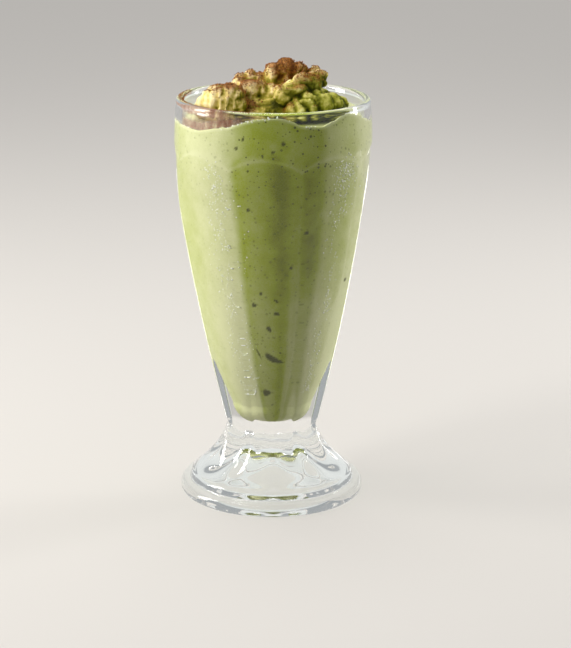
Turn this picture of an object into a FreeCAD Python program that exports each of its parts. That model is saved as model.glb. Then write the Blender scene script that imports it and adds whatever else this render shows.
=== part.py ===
"""Matcha frappe in a footed, fluted soda glass. Millimetres, +Z up.

The origin is the centre of the circle that the foot stands on, and -Y is the front.
Nodes: glass, frappe, cream. Nothing here moves.
"""
import FreeCAD, Part
import math
import os

Vector = FreeCAD.Vector
os.makedirs("parts", exist_ok=True)

# ---------------------------------------------------------------- glass, overall
glass_height = 180.0        # table to lip
band_radius = 43.3          # the plain round band under the rim, its widest
rim_draw = 1.0              # how far the band draws in at the lip
draw_height = 20.0          # over this height
lip_radius = 1.65           # the fire-polished bead of the lip, a little thicker than its wall
neck_radius = 21.5          # at the ridges, the narrowest place
neck_drop = 3.0             # the neck lies this far under the cavity's floor
taper_bow = 1.4             # how far the tapered side bulges past a straight line

# ---------------------------------------------------------------- flutes
flute_count = 8
shoulder_drop = 43.0        # the tapered ridges would reach the band's radius this far under the lip
arch_below_lip = 19.5       # top of each rounded arch, under the lip
arch_drop = 5.5             # from the top of an arch down to the cusps beside it
arch_run = 28.0             # height over which a flute reaches its full depth
flute_twist = 9.0           # degrees that the pressed flutes turn, lip to foot
front_flute = -4.0          # degrees from the front of the front flute, at the arches
scoop_depth = 1.1           # extra hollow of a flute on the foot

# ---------------------------------------------------------------- foot
foot_radius = 41.4
foot_edge = 5.4             # thickness of the foot's round edge
edge_round = 2.6            # how far its top is rounded in
base_round = 1.7            # and its bottom
shelf_slope = 1.6           # the shelf's rise, from the edge to under the stem
shelf_width = 5.0           # from the foot's edge in to where the flared stem runs out
shelf_height = 3.2          # that place over the top of the foot's edge
petal_height = 1.0          # the lowest point of a flute's tongue, over that
petal_rise = 6.5            # and how much higher the ridges between them end
flare_power = 2.1           # how sharply the stem flares into the shelf
stand_width = 7.4           # from the foot's edge in to the mouth of the hollow under it
hollow_height = 17.5
crown_radius = 5.0          # the flat top of the hollow

# ---------------------------------------------------------------- inside of the glass
rim_wall = 3.0
band_wall = 3.3
side_wall = 3.0             # under the flutes' middles, on the upper half
base_thickness = 18.5       # solid glass between the hollow and the cavity
well_radius = 12.2          # the narrow lower end of the cavity
well_round = 7.5            # rounding of its bottom corner
well_bow = 1.3              # how far its side bulges between the well and the knee
knee_radius = 25.6          # where the thick lower wall has thinned to the side wall
knee_height = 41.0          # over the cavity's floor

# ---------------------------------------------------------------- drink
drink_drop = 8.5            # its flat top, under the lip
collar_width = 4.4          # round the cream it climbs the wall over this width
edge_drop = 1.5             # the lowest of its uneven edge on the wall, under that flat top
# where the edge swells up the wall: angle from the front, rise, half-width in degrees
edge_swells = ((-3.0, 7.3, 26.0), (52.0, 6.6, 20.0), (118.0, 3.6, 24.0), (172.0, 2.4, 30.0),
               (-128.0, 3.4, 26.0))

# ---------------------------------------------------------------- cream
cream_clearance = 0.4       # between the cream and the drink's collar
cream_points = 8            # points of the star nozzle
cream_groove = 0.13         # depth of the grooves, as a share of the rope's radius
cream_twist = 7.0           # how far a groove turns along the rope, degrees for each mm
cream_rise = 25.9           # the strokes' heights count down from this far over the drink
# each stroke of the piping bag: x, y, depth of the rope's middle under the peak, rope radius
strokes = (
    ((-21.0, 14.0, 23.2, 6.6), (-26.0, 3.0, 22.2, 6.6), (-26.5, -8.0, 21.2, 6.8), (-20.0, -14.0, 18.8, 8.2),
     (-11.0, -18.5, 19.0, 7.8), (-3.0, -20.5, 18.2, 7.4), (8.0, -20.5, 18.8, 7.0), (18.0, -17.0, 19.4, 6.4),
     (25.5, -8.0, 21.2, 5.8), (28.5, 2.0, 23.0, 4.8)),
    ((-17.0, 13.0, 21.4, 7.0), (-5.0, 17.5, 20.6, 8.0), (8.0, 17.5, 20.6, 8.0), (17.5, 10.5, 21.4, 7.0),
     (25.0, 3.0, 23.4, 5.2)),
    ((-17.5, 2.0, 17.8, 5.0), (-12.0, 4.0, 13.2, 5.6), (-7.0, 4.0, 13.6, 5.4), (-1.5, 2.5, 11.4, 5.8),
     (5.4, 3.0, 8.2, 6.8), (11.4, 3.0, 9.8, 5.6), (17.0, 2.0, 9.8, 4.9), (21.0, -0.5, 10.6, 4.3)),
    ((22.0, -2.5, 9.3, 3.6), (16.5, -7.0, 10.8, 4.2), (9.6, -11.0, 12.4, 4.6), (2.0, -14.0, 14.6, 5.0),
     (-4.0, -14.5, 16.2, 5.2)),
    ((19.0, -3.0, 15.4, 6.0), (9.0, -3.0, 14.4, 8.0), (-5.0, -5.0, 15.4, 8.2), (-16.0, -5.0, 18.0, 8.2)),
)

# ---------------------------------------------------------------- heights and radii that follow
SECTOR = 360.0 / flute_count
lip_z = glass_height - lip_radius      # height of the middle of the lip's bead
rim_radius = band_radius - rim_draw    # outside of the lip
band_top_z = glass_height - draw_height
arch_top_z = glass_height - arch_below_lip
shoulder_z = glass_height - shoulder_drop
shelf_radius = foot_radius - shelf_width
shelf_z = foot_edge + shelf_height
petal_end_z = shelf_z + petal_height
hollow_radius = foot_radius - stand_width
cavity_floor_z = hollow_height + base_thickness
neck_z = cavity_floor_z - neck_drop
well_z = cavity_floor_z + well_round
knee_z = cavity_floor_z + knee_height
drink_level = glass_height - drink_drop
edge_low = drink_level - edge_drop
bowl_share = (band_radius - band_wall) / 40.0      # the piping was drawn for a bowl of 40 mm inside radius
cream_peak_z = drink_level + cream_rise * bowl_share


def smoothstep(t):
    """0 below 0, 1 above 1, and an even S between."""
    t = min(max(t, 0.0), 1.0)
    return t * t * (3.0 - 2.0 * t)


def smooth_min(a, b, width):
    """The lesser of a and b, rounded over where they are within width."""
    h = max(width - abs(a - b), 0.0) / width
    return min(a, b) - h * h * width * 0.25


def ridge_radius(z):
    """Radius of the round body that the flutes are sunk into: band, taper, neck and flare."""
    if z >= neck_z:
        t = (z - neck_z) / (shoulder_z - neck_z)
        taper = neck_radius + (band_radius - neck_radius) * t + 4.0 * taper_bow * t * (1.0 - t)
        draw = max(z - band_top_z, 0.0) / (lip_z - band_top_z)
        band = band_radius - (band_radius - rim_radius) * draw * draw
        return smooth_min(taper, band, 1.6) if t < 1.5 else band
    if z < shelf_z:
        return shelf_radius + 0.2 * (shelf_z - z)
    t = (neck_z - z) / (neck_z - shelf_z)
    return neck_radius + (shelf_radius - neck_radius) * t ** flare_power


def flute_centre(z):
    """Angle of the front flute's middle at this height, from the front towards +X."""
    return front_flute + flute_twist * (arch_top_z - z) / arch_top_z


def flute_fade(off, z):
    """Share of its full depth that a flute has: none above its arch or below its tongue."""
    side = (2.0 * off / SECTOR) ** 2
    top = (arch_top_z - arch_drop * side - z) / arch_run
    top = min(max(top, 0.0), 1.0)
    low = (z - petal_end_z - petal_rise * side) / (0.45 * arch_run)
    return (0.3 * top + 0.7 * top * top) * smoothstep(low)


def body_radius(angle, z):
    """Outer radius of the fluted body, with flat-faced flutes meeting in ridges."""
    off = (angle - flute_centre(z) + SECTOR / 2.0) % SECTOR - SECTOR / 2.0
    ridge = ridge_radius(z)
    flat = ridge * (1.0 - math.cos(math.radians(SECTOR / 2.0)) / math.cos(math.radians(off)))
    on_foot = smoothstep((neck_z - z) / (neck_z - shelf_z) * 2.0)
    scoop = scoop_depth * on_foot * math.cos(math.radians(180.0 * off / SECTOR)) ** 2
    return ridge - (flat + scoop) * flute_fade(off, z)


def polar(angle, radius, z):
    """A point at this angle from the front, towards +X."""
    a = math.radians(angle)
    return Vector(radius * math.sin(a), -radius * math.cos(a), z)


def fluted_section(z, steps=8):
    """One closed wire round the body, an edge for each flute, from ridge to ridge."""
    edges = []
    start = flute_centre(z) - SECTOR / 2.0
    for k in range(flute_count):
        angles = [start + SECTOR * (k + i / steps) for i in range(steps + 1)]
        curve = Part.BSplineCurve()
        curve.interpolate([polar(a, body_radius(a + (1e-7 if i == 0 else -1e-7), z), z)
                           for i, a in enumerate(angles)])
        edges.append(curve.toShape())
    return Part.Wire(edges)


def revolved(wire):
    """A closed half-outline in the XZ plane, turned into a solid."""
    return Part.Face(wire).revolve(Vector(0, 0, 0), Vector(0, 0, 1), 360)


def between(low, high, shares):
    """Heights at these shares of the way from low to high."""
    return [low + (high - low) * share for share in shares]


def spline(points):
    """An edge through (radius, z) points."""
    curve = Part.BSplineCurve()
    curve.interpolate([Vector(r, 0, z) for r, z in points])
    return curve.toShape()


def line(a, b):
    return Part.makeLine(Vector(a[0], 0, a[1]), Vector(b[0], 0, b[1]))


def arc(a, mid, b):
    return Part.Arc(*[Vector(r, 0, z) for r, z in (a, mid, b)]).toShape()


# ---------------------------------------------------------------- inner profile
def cavity_points():
    """The smooth inside of the bowl, from the side of the well up to the lip."""
    flat_share = math.cos(math.radians(SECTOR / 2.0))
    middle = (well_radius + knee_radius) / 2.0 + well_bow
    points = [(well_radius, well_z), (middle, (well_z + knee_z) / 2.0), (knee_radius, knee_z)]
    for z in between(knee_z, arch_top_z, (0.24, 0.48, 0.695)):
        points.append((ridge_radius(z) * flat_share - side_wall, z))
    points.append((band_radius - band_wall, arch_top_z - 3.5))
    points.append((rim_radius - rim_wall, lip_z))
    return points


def cavity_solid(top_z):
    """What the bowl can hold: the well's round bottom, the side, and straight up past the lip."""
    side = cavity_points()
    corner = well_z - cavity_floor_z
    floor_radius = well_radius - corner
    low_corner = (floor_radius + corner * math.sin(math.radians(45)), well_z - corner * math.cos(math.radians(45)))
    last = side[-1]
    edges = [line((0.0, cavity_floor_z), (floor_radius, cavity_floor_z)),
             arc((floor_radius, cavity_floor_z), low_corner, side[0]),
             spline(side), line(last, (last[0], top_z)),
             line((last[0], top_z), (0.0, top_z)), line((0.0, top_z), (0.0, cavity_floor_z))]
    return revolved(Part.Wire(edges))


# ---------------------------------------------------------------- glass
def glass_solid():
    levels = [foot_edge * 0.5, foot_edge + shelf_height * 0.2]
    levels += between(shelf_z, neck_z, (0.0, 0.08, 0.16, 0.26, 0.385, 0.53, 0.69, 0.855))
    levels += between(neck_z, arch_top_z, (0.0, 0.04, 0.12, 0.245, 0.385, 0.525, 0.65, 0.745, 0.81, 0.855,
                                           0.894, 0.925, 0.953, 0.976, 0.996))
    levels += between(arch_top_z, lip_z, (0.14, 0.42, 0.7, 1.0))
    body = Part.makeLoft([fluted_section(z) for z in levels], True, False)

    shelf_top = foot_edge + shelf_slope
    disc = revolved(Part.Wire([
        line((0.0, 0.0), (foot_radius - base_round, 0.0)),
        arc((foot_radius - base_round, 0.0), (foot_radius, foot_edge * 0.45), (foot_radius - edge_round, foot_edge)),
        arc((foot_radius - edge_round, foot_edge), (shelf_radius - 1.0, shelf_top - 0.3), (shelf_radius - 8.0, shelf_top)),
        line((shelf_radius - 8.0, shelf_top), (0.0, shelf_top)),
        line((0.0, shelf_top), (0.0, 0.0))]))

    hollow = revolved(Part.Wire([
        line((0.0, -1.0), (hollow_radius, -1.0)),
        line((hollow_radius, -1.0), (hollow_radius, 0.0)),
        spline([(hollow_radius, 0.0), (hollow_radius - 2.6, 2.4), (hollow_radius * 0.647, hollow_height * 0.423),
                (crown_radius + 8.5, hollow_height * 0.766), (crown_radius + 2.5, hollow_height - 0.6),
                (crown_radius, hollow_height)]),
        line((crown_radius, hollow_height), (0.0, hollow_height)),
        line((0.0, hollow_height), (0.0, -1.0))]))
    lip = Part.makeTorus(rim_radius - rim_wall / 2.0, lip_radius, Vector(0, 0, lip_z))
    return body.fuse(disc).cut(cavity_solid(glass_height + 5.0)).cut(hollow).fuse(lip)




# ---------------------------------------------------------------- drink
def inner_radius(z):
    """Radius of the bowl's inside at a height near its top."""
    low, high = cavity_points()[-2:]
    return low[0] + (high[0] - low[0]) * (z - low[1]) / (high[1] - low[1])


def edge_height(angle):
    """Height of the drink's edge on the wall."""
    rise = 0.0
    for centre, height, width in edge_swells:
        off = (angle - centre + 180.0) % 360.0 - 180.0
        rise += height * math.exp(-(off / width) ** 2)
    return edge_low + rise


def frappe_solid():
    """The drink fills the bowl; its top is flat under the cream and rises to an uneven edge."""
    top_z = glass_height + 4.0
    outer = band_radius + 1.0
    inner = inner_radius(drink_level) - collar_width

    def closed_curve(radius, height):
        curve = Part.BSplineCurve()
        curve.interpolate([polar(7.5 * i, radius, height(7.5 * i)) for i in range(48)], PeriodicFlag=True)
        return Part.Wire([curve.toShape()])

    def collar(share):
        wall = inner_radius(drink_level)
        return closed_curve(inner + (wall - inner) * share,
                            lambda a: drink_level + (edge_height(a) - drink_level) * smoothstep(share))

    wires = [closed_curve(inner, lambda a: drink_level), collar(0.3), collar(0.6), collar(0.85), collar(1.0),
             closed_curve(outer, edge_height), closed_curve(outer, lambda a: top_z)]
    above = Part.makeLoft(wires, True, True)
    return cavity_solid(lip_z - 0.7).cut(above)


# ---------------------------------------------------------------- cream
def stroke_samples(stroke, step=1.2):
    """Evenly spaced places along one stroke, each with its radius, heading and distance run."""
    path = Part.BSplineCurve()
    path.interpolate([Vector(x * bowl_share, y * bowl_share, cream_peak_z - drop * bowl_share)
                      for x, y, drop, _ in stroke])
    size = Part.BSplineCurve()
    size.interpolate([Vector(i, radius * bowl_share, 0) for i, (_, _, _, radius) in enumerate(stroke)])
    count = max(int(path.length() / step), 6)
    samples = []
    for i in range(count + 1):
        share = i / count
        place = path.value(path.FirstParameter + (path.LastParameter - path.FirstParameter) * share)
        heading = path.tangent(path.FirstParameter + (path.LastParameter - path.FirstParameter) * share)[0]
        radius = size.value(size.FirstParameter + (size.LastParameter - size.FirstParameter) * share).y
        level = math.hypot(heading.x, heading.y)
        samples.append((place, radius, (heading.x / level, heading.y / level), path.length() * share))
    return samples


def cream_height(x, y, samples):
    """Height of the piped ropes over a place: each a round rope with the star nozzle's grooves."""
    best = drink_level
    for place, radius, heading, run in samples:
        dx, dy = x - place.x, y - place.y
        gap = math.hypot(dx, dy)
        if gap >= radius * (1.0 + cream_groove):
            continue
        side = heading[0] * dy - heading[1] * dx
        turn = math.degrees(math.asin(max(-1.0, min(1.0, side / radius))))
        groove = cream_groove * math.cos(math.radians(cream_points * turn + cream_twist * run))
        reach = radius * (1.0 + groove)
        if gap < reach:
            best = max(best, place.z + math.sqrt(reach * reach - gap * gap))
    return best


def triangles_solid(triangles):
    """A closed solid of flat triangles, each three points."""
    faces = [Part.Face(Part.makePolygon([a, b, c, a])) for a, b, c in triangles]
    return Part.Solid(Part.makeShell(faces))


def cream_solid(spokes=72, rings=22):
    """The piped cream as one solid: a grid of spokes and rings over a flat underside."""
    samples = [place for stroke in strokes for place in stroke_samples(stroke)]
    widest = inner_radius(drink_level) - collar_width - cream_clearance
    rim = []
    for k in range(spokes):
        a = 360.0 * k / spokes
        reach = widest
        while reach > 8.0 and cream_height(polar(a, reach, 0).x, polar(a, reach, 0).y, samples) < drink_level + 1.5:
            reach -= 0.4
        rim.append(reach)
    centre = Vector(0, 0, cream_height(0.0, 0.0, samples))
    foot = Vector(0, 0, drink_level)
    grid = []
    for k in range(spokes):
        column = []
        for i in range(1, rings + 1):
            flat = polar(360.0 * k / spokes, rim[k] * i / rings, 0)
            top = max(cream_height(flat.x, flat.y, samples), drink_level + 0.8)
            column.append(Vector(flat.x, flat.y, top))
        column.append(Vector(column[-1].x, column[-1].y, drink_level))
        grid.append(column)
    triangles = []
    for k in range(spokes):
        here, there = grid[k], grid[(k + 1) % spokes]
        triangles.append((centre, here[0], there[0]))
        for i in range(rings):
            triangles.append((here[i], here[i + 1], there[i + 1]))
            triangles.append((here[i], there[i + 1], there[i]))
        triangles.append((foot, there[-1], here[-1]))
    return triangles_solid(triangles)


# ---------------------------------------------------------------- nodes
for node, solid in (("glass", glass_solid()), ("frappe", frappe_solid()), ("cream", cream_solid())):
    print(node, solid.isValid(), len(solid.Solids), round(solid.Volume / 1000.0, 1), "cm3", solid.BoundBox)
    solid.exportStep("parts/%s.step" % node)
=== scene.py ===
"""Matcha frappe in a footed soda glass: finishes, fine shapes, light and camera.

Lengths are written in millimetres and multiplied by MM. Angles are in degrees and run from
the front (-Y) towards +X. Every new shape is a numpy surface: whole arrays of a grid of two
parameters.
"""
import bmesh
import bpy
import math
import numpy as np
from mathutils import Matrix, Vector

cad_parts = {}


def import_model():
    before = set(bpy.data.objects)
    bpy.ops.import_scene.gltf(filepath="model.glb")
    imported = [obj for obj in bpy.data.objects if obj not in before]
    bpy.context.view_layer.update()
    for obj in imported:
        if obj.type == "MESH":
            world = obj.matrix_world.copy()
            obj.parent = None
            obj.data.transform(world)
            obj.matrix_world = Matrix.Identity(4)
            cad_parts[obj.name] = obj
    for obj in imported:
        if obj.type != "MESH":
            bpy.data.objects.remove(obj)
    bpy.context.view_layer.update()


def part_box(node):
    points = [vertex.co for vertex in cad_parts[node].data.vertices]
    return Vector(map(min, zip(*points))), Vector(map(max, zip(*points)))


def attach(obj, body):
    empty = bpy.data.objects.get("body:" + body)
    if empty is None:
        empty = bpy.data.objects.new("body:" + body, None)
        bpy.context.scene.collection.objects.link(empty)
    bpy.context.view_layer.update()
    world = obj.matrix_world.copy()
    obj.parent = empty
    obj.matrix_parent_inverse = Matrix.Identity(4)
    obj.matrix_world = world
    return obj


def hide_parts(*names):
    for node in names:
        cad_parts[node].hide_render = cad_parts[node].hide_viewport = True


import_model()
MM = 0.001

# ------------------------------------------------------------------ sizes of the glass
glass_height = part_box("glass")[1][2] / MM
band_radius = 43.3
rim_radius = 42.3
lip_radius = 1.65
rim_wall = 3.0
lip_z = glass_height - lip_radius
band_top_z = 160.0
shoulder_z = 137.0
shoulder_blend = 1.6
neck_radius = 21.5
neck_z = 33.0
taper_bow = 1.4
flute_count = 8
SECTOR = 360.0 / flute_count
ridge_round = 1.7                 # degrees over which the ridges between flutes are rounded
arch_top_z = 160.5
arch_drop = 5.5
arch_run = 28.0
arch_even = 0.3                   # share of a flute's depth that grows evenly below its arch
arch_step = 0.22                  # share that is there straight under the arch
flute_twist = 9.0
front_flute = -5.5
scoop_depth = 1.1
foot_radius = 41.4
foot_edge = 5.4
foot_edge_low = 0.45 * foot_edge  # height of the foot's widest line
edge_round = 2.6
base_round = 1.7
shelf_slope = 1.6
shelf_radius = 36.4
shelf_z = 8.6
shelf_spread = 0.2
petal_end_z = 9.6
petal_rise = 6.5
flare_power = 2.1
hollow_radius = 34.0
hollow_height = 17.5
crown_radius = 5.0

# ------------------------------------------------------------------ sizes of the room inside
band_wall = 3.3
band_low_z = 157.0
side_wall = 3.0
side_heights = (97.0, 117.0, 135.0)
cavity_floor_z = 36.0
well_radius = 12.2
well_z = 43.5
well_corner = well_z - cavity_floor_z
well_bow = 1.3
knee_radius = 25.6
knee_z = 77.0

# ------------------------------------------------------------------ sizes of the drink
drink_level, cream_top = (corner[2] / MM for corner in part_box("cream"))
wall_bite = 0.15
collar_width = 4.4
edge_low = 170.0
edge_swells = ((-3.0, 7.6, 26.0), (52.0, 7.0, 20.0), (118.0, 3.6, 24.0), (172.0, 2.4, 30.0),
               (-128.0, 3.4, 26.0))   # angle, height and width of each
pit_share = 0.12                  # how much of the hollows' depth is pressed in; the rest is painted shade
# hollows against the wall: angle, height, half-length, half-width, tilt in degrees, bend, depth
pits = (
    (3.0, 69.0, 4.7, 1.35, -28.0, -0.9, 1.1), (-8.0, 51.5, 1.8, 1.6, 0.0, 0.0, 0.7),
    (3.0, 96.5, 1.5, 0.5, -40.0, 0.2, 0.6), (4.0, 90.5, 1.4, 0.9, -20.0, 0.0, 0.9),
    (-3.0, 83.0, 1.5, 0.9, -55.0, 0.2, 0.9), (-14.0, 71.0, 2.8, 0.35, -68.0, 0.0, 0.5),
    (-15.0, 94.5, 1.1, 1.0, 0.0, 0.0, 0.6), (-16.0, 138.0, 0.9, 0.8, 0.0, 0.0, 0.5),
    (6.0, 167.0, 1.0, 0.9, 0.0, 0.0, 0.6), (-22.0, 164.5, 0.8, 0.7, 0.0, 0.0, 0.5),
    (-18.0, 168.5, 0.7, 0.6, 0.0, 0.0, 0.5), (0.0, 163.5, 0.8, 0.7, 0.0, 0.0, 0.5),
    (14.0, 112.0, 0.8, 0.7, 0.0, 0.0, 0.5), (22.0, 128.0, 0.7, 0.6, 0.0, 0.0, 0.4),
    (-9.0, 100.0, 0.7, 0.6, 0.0, 0.0, 0.4), (95.0, 120.0, 1.2, 1.0, 20.0, 0.0, 0.7),
    (131.0, 84.0, 2.4, 0.9, 35.0, 0.5, 0.8), (-118.0, 98.0, 1.6, 1.2, -30.0, 0.0, 0.8),
    (178.0, 141.0, 1.1, 0.9, 0.0, 0.0, 0.6), (-160.0, 66.0, 2.6, 0.8, -35.0, -0.5, 0.8),
    (70.0, 102.0, 1.0, 0.9, 0.0, 0.0, 0.5),
)

# ------------------------------------------------------------------ sizes of the piped cream
cream_points = 8
cream_groove = 0.02
cream_twist = 7.0
cream_peak_z = drink_level + 25.9
cream_voxel = 0.5
cream_sink = 2.5                  # how far the cream's skin reaches below the drink's level
mound_radii = (27.0, 20.5, 9.5)
mound_back = 0.5
mound_z = drink_level + 2.0
# the ropes, each by its points: x, y, depth under the peak, radius
strokes = (
    ((-21.0, 14.0, 23.2, 6.6), (-26.0, 3.0, 22.2, 6.6), (-26.0, -8.0, 20.6, 7.4),
     (-19.5, -14.5, 18.2, 8.8), (-11.5, -18.0, 19.0, 7.2)),
    ((5.5, -18.5, 22.0, 4.8), (10.5, -17.5, 20.6, 5.8), (17.0, -15.0, 19.0, 6.4),
     (25.0, -8.0, 21.2, 5.8), (28.5, 2.0, 23.0, 4.8)),
    ((-17.0, 13.0, 21.4, 7.0), (-5.0, 17.5, 20.6, 8.0), (8.0, 17.5, 20.6, 8.0),
     (17.5, 10.5, 21.4, 7.0), (25.0, 3.0, 23.4, 5.2)),
    ((-17.5, 2.0, 17.8, 5.2), (-12.0, 3.6, 13.4, 5.8), (-7.0, 3.6, 13.4, 5.6), (-1.5, 2.5, 11.0, 6.0),
     (5.4, 3.0, 8.2, 6.8), (11.4, 3.0, 9.6, 5.8), (17.0, 2.0, 9.8, 4.9), (21.0, -0.5, 10.6, 4.3)),
    ((22.0, -3.0, 9.0, 3.4), (17.0, -8.0, 9.8, 4.6), (10.6, -12.5, 11.8, 4.9),
     (4.2, -15.0, 14.2, 4.6), (0.5, -14.5, 17.0, 3.8)),
    ((19.0, -2.0, 17.0, 6.0), (9.0, -3.0, 18.4, 7.4), (-5.0, -3.0, 17.6, 7.2), (-16.0, -5.0, 17.4, 8.6)),
)
# the lobes of each rope: their depth and their spacing along the run
ruffles = ((0.05, 2.9), (0.07, 4.6), (0.05, 5.0), (0.13, 4.5), (0.09, 6.4), (0.03, 6.0))


# ------------------------------------------------------------------ small maths
def smoothstep(t):
    """0 below 0, 1 above 1, and an even S between."""
    t = np.clip(t, 0.0, 1.0)
    return t * t * (3.0 - 2.0 * t)


def after(x, start, width):
    """0 up to start, then an S up to 1 over width."""
    return smoothstep((x - start) / width)


def before(x, end, width):
    """1 until width short of end, then an S down to 0."""
    return smoothstep((end - x) / width)


def bell(x, middle, width):
    """1 in the middle, falling to 1/e at width from it."""
    return np.exp(-((x - middle) / width) ** 2)


def blob(co, place, spread):
    """1 at a place given by x, y and perhaps z, falling with the squared distance over spread."""
    return np.exp(-sum((co[:, axis] - middle) ** 2 for axis, middle in enumerate(place)) / spread)


def smooth_min(a, b, width):
    """The lesser of a and b, rounded over where they are within width."""
    h = np.maximum(width - np.abs(a - b), 0.0) / width
    return np.minimum(a, b) - h * h * width * 0.25


def wrap(angle):
    """The angle brought to -180..180."""
    return (angle + 180.0) % 360.0 - 180.0


def polar(radius, angle, height):
    """Points [.., xyz] at these radii, angles and heights."""
    a = np.radians(angle)
    return np.stack(np.broadcast_arrays(radius * np.sin(a), -radius * np.cos(a), height), -1)


def azimuth(co):
    """The angles at which points stand."""
    return np.degrees(np.arctan2(co[:, 0], -co[:, 1]))


def spline(xs, ys, at):
    """Natural cubic spline through the points (xs, ys), read at the values of at."""
    xs, ys, at = (np.asarray(v, dtype=float) for v in (xs, ys, at))
    n = len(xs)
    h = np.diff(xs)
    m = np.zeros((n, n))
    rhs = np.zeros(n)
    m[0, 0] = m[-1, -1] = 1.0
    for i in range(1, n - 1):
        m[i, i - 1:i + 2] = h[i - 1], 2.0 * (h[i - 1] + h[i]), h[i]
        rhs[i] = 6.0 * ((ys[i + 1] - ys[i]) / h[i] - (ys[i] - ys[i - 1]) / h[i - 1])
    bend = np.linalg.solve(m, rhs)
    k = np.clip(np.searchsorted(xs, at) - 1, 0, n - 2)
    a, b, w = xs[k + 1] - at, at - xs[k], h[k]
    return ((bend[k] * a ** 3 + bend[k + 1] * b ** 3) / (6 * w)
            + (ys[k] / w - bend[k] * w / 6) * a + (ys[k + 1] / w - bend[k + 1] * w / 6) * b)


def hash_noise(p, seed):
    """Smooth value noise in -1..1 at the points p: random corners of a unit grid, blended by smoothstep."""
    cell = np.floor(p).astype(np.int64)
    f = p - cell
    f = f * f * (3.0 - 2.0 * f)
    total = np.zeros(len(p))
    for corner in np.ndindex(2, 2, 2):
        x, y, z = (cell + np.array(corner)).T
        key = (x * 73856093 ^ y * 19349663 ^ z * 83492791 ^ seed * 2654435761) & 0xFFFFFFFF
        key = ((key ^ (key >> 15)) * 2246822519) & 0xFFFFFFFF
        key = ((key ^ (key >> 13)) * 3266489917) & 0xFFFFFFFF
        value = (key ^ (key >> 16)) / 2147483648.0 - 1.0
        u, v, w = (f[:, axis] if far else 1 - f[:, axis] for axis, far in enumerate(corner))
        total += u * v * w * value
    return total


def flat_noise(x, y, seed):
    """The same noise over two coordinates."""
    return hash_noise(np.stack(np.broadcast_arrays(x, y, 0.0), -1), seed)


# ------------------------------------------------------------------ mesh from a grid
def add_object(name, data):
    """A new object with this data, in the scene."""
    obj = bpy.data.objects.new(name, data)
    bpy.context.scene.collection.objects.link(obj)
    return obj


def mesh_object(name, verts, faces, smooth=True):
    """A mesh object in metres from millimetre points and faces that all have as many corners."""
    mesh = bpy.data.meshes.new(name)
    mesh.vertices.add(len(verts))
    mesh.vertices.foreach_set("co", (np.asarray(verts) * MM).astype(np.float32).ravel())
    sides = faces.shape[1]
    mesh.loops.add(len(faces) * sides)
    mesh.loops.foreach_set("vertex_index", faces.astype(np.int32).ravel())
    mesh.polygons.add(len(faces))
    mesh.polygons.foreach_set("loop_start", np.arange(0, len(faces) * sides, sides, dtype=np.int32))
    mesh.polygons.foreach_set("use_smooth", np.full(len(faces), smooth))
    mesh.update(calc_edges=True)
    mesh.validate()
    return add_object(name, mesh)


def weld(obj, distance=1e-6):
    """Merges doubles, drops empty faces and points all faces outwards."""
    bm = bmesh.new()
    bm.from_mesh(obj.data)
    bmesh.ops.remove_doubles(bm, verts=bm.verts, dist=distance)
    bmesh.ops.dissolve_degenerate(bm, edges=bm.edges, dist=distance)
    bmesh.ops.recalc_face_normals(bm, faces=bm.faces)
    bm.to_mesh(obj.data)
    bm.free()


def turned_object(name, points):
    """An object from a grid points[station, column, xyz] that closes round its columns.

    The first and last stations are poles: all their points are equal, and the weld merges them.
    """
    stations, columns, _ = points.shape
    s, c = np.meshgrid(np.arange(stations - 1), np.arange(columns), indexing="ij")
    nxt = (c + 1) % columns
    quads = np.stack([s * columns + c, s * columns + nxt, (s + 1) * columns + nxt, (s + 1) * columns + c], -1)
    obj = mesh_object(name, points.reshape(-1, 3), quads.reshape(-1, 4))
    weld(obj)
    return obj


def vertex_values(mesh, what):
    """The "normal" of all vertices, or their "co" in metres."""
    values = np.empty(len(mesh.vertices) * 3, dtype=np.float32)
    mesh.vertices.foreach_get(what, values)
    return values.reshape(-1, 3).astype(float)


def set_layer(obj, name, values):
    """Stores one number for each vertex, for a material to read."""
    layer = obj.data.attributes.new(name, "FLOAT", "POINT")
    layer.data.foreach_set("value", np.asarray(values, dtype=np.float32))


# ------------------------------------------------------------------ form of the glass
def ridge_radius(z):
    """Radius of the round body that the flutes are sunk into: band, taper, neck and flare."""
    z = np.asarray(z, dtype=float)
    t = (z - neck_z) / (shoulder_z - neck_z)
    taper = neck_radius + (band_radius - neck_radius) * t + 4.0 * taper_bow * t * (1.0 - t)
    taper = np.where(t < 1.2, taper, 1e3)         # well above the shoulder only the band counts
    draw = np.maximum(z - band_top_z, 0.0) / (lip_z - band_top_z)
    band = band_radius - (band_radius - rim_radius) * draw * draw
    upper = smooth_min(taper, band, shoulder_blend)
    d = np.clip((neck_z - z) / (neck_z - shelf_z), 0.0, 1.0)
    spread = shelf_spread * np.maximum(shelf_z - z, 0.0)
    flare = neck_radius + (shelf_radius - neck_radius) * d ** flare_power + spread
    return np.where(z >= neck_z, upper, flare)


def flute_centre(z):
    """Angle of the front flute's middle at this height."""
    return front_flute + flute_twist * (arch_top_z - z) / arch_top_z


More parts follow.
